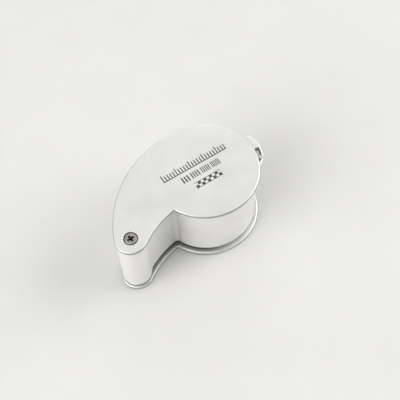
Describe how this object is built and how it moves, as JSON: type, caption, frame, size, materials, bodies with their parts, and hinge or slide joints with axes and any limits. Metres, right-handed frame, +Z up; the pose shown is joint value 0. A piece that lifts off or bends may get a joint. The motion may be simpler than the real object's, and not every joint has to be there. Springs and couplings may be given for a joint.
{
  "type": "folding loupe",
  "caption": "Pocket magnifier for jewellery work: a lighted lens housing swings out sideways from between two comma-shaped metal plates joined by a curved spine.",
  "frame": {"origin": "on the pivot axis, at the flat underside of the bottom plate", "axes": "+Z up through the top plate along the pivot axis, +X from the pivot axis to the lens axis with the loupe closed, +Y towards the closed spine"},
  "size_m": [0.0584, 0.0363, 0.0261],
  "materials": {
    "satin_plate": "satin, pearly silver, plain edges rounded",
    "satin_housing": "smooth satin silver lacquer, a little warmer than the plates",
    "steel": "bright turned steel",
    "screw_steel": "dull grey-brown steel, flush flat head",
    "nylon": "natural white bearing plastic",
    "black_lid": "fine matt black moulding",
    "black_ring": "black anodised, satin",
    "lens_glass": "polished optical glass",
    "cell_steel": "nickel-plated cell cases",
    "contact": "nickel-brass spring strip",
    "led_clear": "clear domed lamp",
    "board": "green circuit board",
    "red_skin": "red lead insulation",
    "black_skin": "black lead insulation",
    "cap_satin": "turned satin cap with a coin slot",
    "knob_satin": "small bright switch knob"
  },
  "bodies": {
    "cover": {"top_plate": "satin_plate", "bottom_plate": "satin_plate", "spine_wall": "satin_plate", "pivot_post": "steel", "pivot_screw": "screw_steel", "friction_washer": "steel"},
    "lens_unit": {"lens_housing": "satin_housing", "housing_lid": "black_lid", "lid_screw": "steel", "pivot_bush_lower": "nylon", "pivot_bush_upper": "nylon", "lens_barrel": "black_lid", "lens_lower": "lens_glass", "lens_spacer": "black_lid", "lens_upper": "lens_glass", "retaining_ring": "black_ring", "battery_sleeve": "black_lid", "button_cell_1": "cell_steel", "button_cell_2": "cell_steel", "button_cell_3": "cell_steel", "contact_plate": "contact", "led_holder": "black_lid", "led_1": "led_clear", "led_2": "led_clear", "circuit_board": "board", "resistor": "black_lid", "switch_body": "steel", "lead_red": "red_skin", "lead_black": "black_skin"},
    "cap": {"battery_cap": "cap_satin", "battery_spring": "steel"},
    "knob": {"switch_knob": "knob_satin"}
  },
  "joints": [
    {"name": "lens_swing", "type": "hinge", "parent": "cover", "child": "lens_unit", "pos_m": [0, 0, 0.0131], "axis": [0, 0, -1], "range_deg": [0, 170]},
    {"name": "cap_turn", "type": "hinge", "parent": "lens_unit", "child": "cap", "pos_m": [0.0096, 0.0054, 0.003], "axis": [0, 0, 1], "range_deg": [0, 60]},
    {"name": "switch_slide", "type": "slide", "parent": "lens_unit", "child": "knob", "axis": [0.4226, 0.9063, 0], "range_m": [0, 0.002]}
  ]
}
